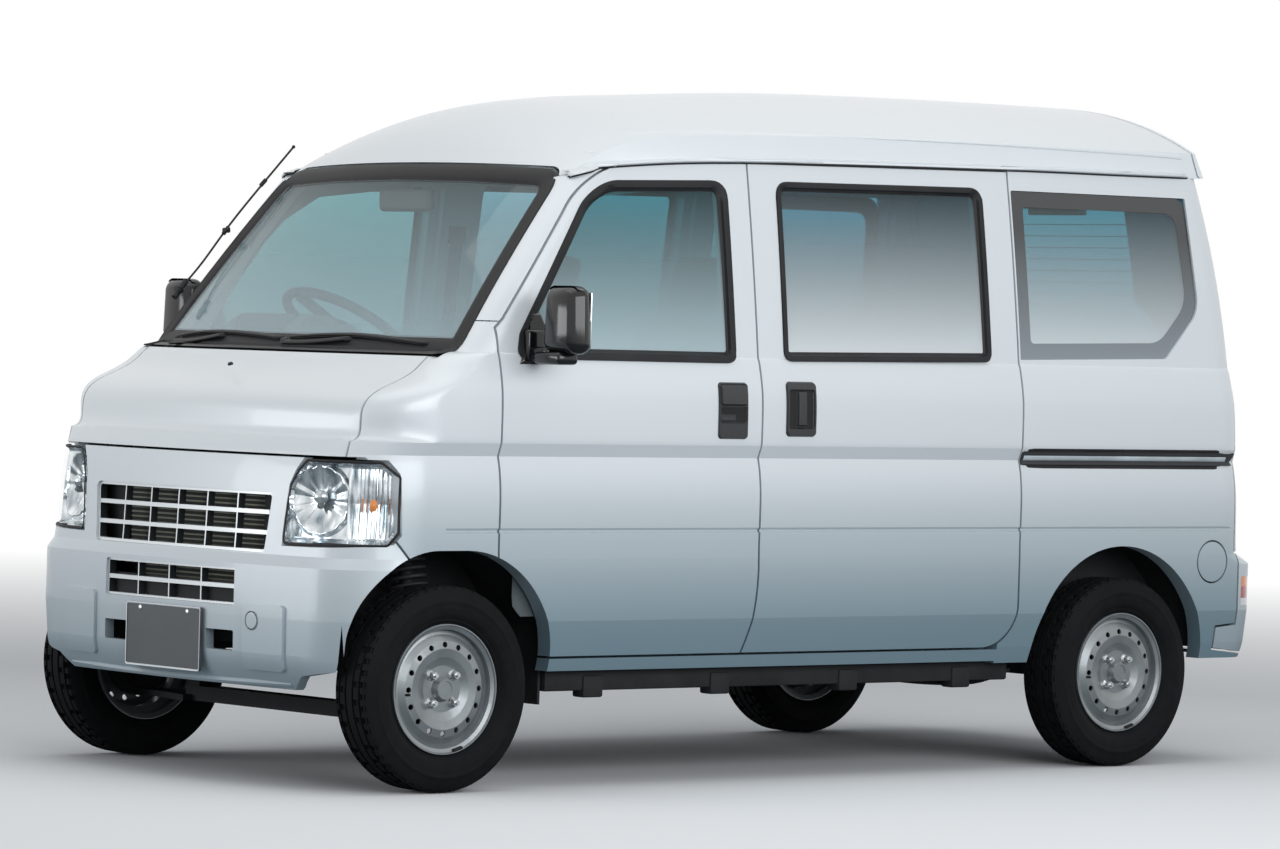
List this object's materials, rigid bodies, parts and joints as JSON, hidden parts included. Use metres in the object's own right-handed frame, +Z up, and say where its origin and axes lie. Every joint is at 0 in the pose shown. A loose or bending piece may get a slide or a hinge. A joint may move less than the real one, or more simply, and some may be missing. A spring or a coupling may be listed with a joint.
{
  "type": "kei van",
  "caption": "Compact high-roof kei van with hinged front doors, sliding side doors, top-hinged tailgate and steered front wheels.",
  "frame": {"origin": "on the ground under the middle of the van's box", "axes": "+X towards the front of the van, +Y towards its left side, +Z up"},
  "size_m": [3.395, 1.823, 1.8801],
  "materials": {
    "body_paint": "gloss",
    "bumper_paint": "gloss",
    "underbody": "matte",
    "cast_iron": "rough",
    "steel": "satin",
    "wheel_paint": "satin",
    "tyre": "matte",
    "black_plastic": "grained",
    "cabin_plastic": "grained",
    "glass": "clear",
    "lamp_glass": "clear",
    "tail_lens": "gloss",
    "seat_cloth": "woven",
    "aluminium": "satin",
    "plate_white": "satin"
  },
  "bodies": {
    "van_body": {"sliding_doors": "body_paint", "body_sides": "body_paint", "front_fenders": "body_paint", "roof_panel": "body_paint", "front_bumper": "bumper_paint", "rear_bumper": "bumper_paint", "body_frame": "underbody", "chassis_rails": "underbody", "floor_pan": "underbody", "front_suspension": "underbody", "rear_axle": "underbody", "fuel_tank": "underbody", "engine_block": "cast_iron", "exhaust": "steel", "cowl_panel": "black_plastic", "grilles": "black_plastic", "wheelhouses": "black_plastic", "wipers": "black_plastic", "slide_rails": "black_plastic", "dashboard": "cabin_plastic", "steering_column": "cabin_plastic", "seat_bases": "cabin_plastic", "windscreen": "glass", "side_windows": "glass", "headlamps": "lamp_glass", "tail_lamps": "tail_lens", "seat_cushions": "seat_cloth", "seat_backs": "seat_cloth", "rear_bench": "seat_cloth", "radiator": "aluminium", "number_plate": "plate_white"},
    "door_left": {"front_door_left": "body_paint", "door_window_left": "glass", "mirror_left": "black_plastic"},
    "door_right": {"front_door_right": "body_paint", "door_window_right": "glass", "mirror_right": "black_plastic"},
    "tailgate_body": {"tailgate": "body_paint", "rear_window": "glass"},
    "bonnet_body": {"bonnet": "body_paint"},
    "fuel_lid_body": {"fuel_lid": "body_paint"},
    "knuckle_left_body": {"knuckle_left": "underbody"},
    "knuckle_right_body": {"knuckle_right": "underbody"},
    "wheel_front_left": {"tyre_front_left": "tyre", "rim_front_left": "wheel_paint"},
    "wheel_front_right": {"tyre_front_right": "tyre", "rim_front_right": "wheel_paint"},
    "wheel_rear_left": {"tyre_rear_left": "tyre", "rim_rear_left": "wheel_paint"},
    "wheel_rear_right": {"tyre_rear_right": "tyre", "rim_rear_right": "wheel_paint"},
    "steering_wheel_body": {"steering_wheel": "cabin_plastic"}
  },
  "joints": [
    {"name": "front_door_left_hinge", "type": "hinge", "parent": "van_body", "child": "door_left", "pos_m": [1.113, 0.7275, 0.9], "axis": [0, 0, -1], "range_deg": [0, 65]},
    {"name": "front_door_right_hinge", "type": "hinge", "parent": "van_body", "child": "door_right", "pos_m": [1.113, -0.7275, 0.9], "axis": [0, 0, 1], "range_deg": [0, 65]},
    {"name": "tailgate_hinge", "type": "hinge", "parent": "van_body", "child": "tailgate_body", "pos_m": [-1.4455, 0, 1.88], "axis": [0, 1, 0], "range_deg": [0, 85]},
    {"name": "bonnet_hinge", "type": "hinge", "parent": "van_body", "child": "bonnet_body", "pos_m": [1.38, 0, 1.118], "axis": [0, -1, 0], "range_deg": [0, 50]},
    {"name": "fuel_lid_hinge", "type": "hinge", "parent": "van_body", "child": "fuel_lid_body", "pos_m": [-1.3795, 0.7375, 0.577], "axis": [0, 0, -1], "range_deg": [0, 90]},
    {"name": "steer_left", "type": "hinge", "parent": "van_body", "child": "knuckle_left_body", "pos_m": [1.32, 0.605, 0.184], "axis": [0, -0.184, 0.9829], "range_deg": [-32, 32]},
    {"name": "steer_right", "type": "hinge", "parent": "van_body", "child": "knuckle_right_body", "pos_m": [1.32, -0.605, 0.184], "axis": [0, 0.184, 0.9829], "range_deg": [-32, 32]},
    {"name": "steering_wheel_turn", "type": "hinge", "parent": "van_body", "child": "steering_wheel_body", "pos_m": [0.862, -0.345, 1.178], "axis": [-0.5299, 0, 0.848], "range_deg": [-450, 450]},
    {"name": "spin_front_left", "type": "hinge", "parent": "knuckle_left_body", "child": "wheel_front_left", "pos_m": [1.32, 0.655, 0.266], "axis": [0, 1, 0], "continuous": true},
    {"name": "spin_front_right", "type": "hinge", "parent": "knuckle_right_body", "child": "wheel_front_right", "pos_m": [1.32, -0.655, 0.266], "axis": [0, 1, 0], "continuous": true},
    {"name": "spin_rear_left", "type": "hinge", "parent": "van_body", "child": "wheel_rear_left", "pos_m": [-1.1, 0.655, 0.266], "axis": [0, 1, 0], "continuous": true},
    {"name": "spin_rear_right", "type": "hinge", "parent": "van_body", "child": "wheel_rear_right", "pos_m": [-1.1, -0.655, 0.266], "axis": [0, 1, 0], "continuous": true}
  ],
  "couplings": [
    {"joint": "steer_right", "follows": "steer_left", "ratio": 1},
    {"joint": "steering_wheel_turn", "follows": "steer_left", "ratio": 14}
  ]
}
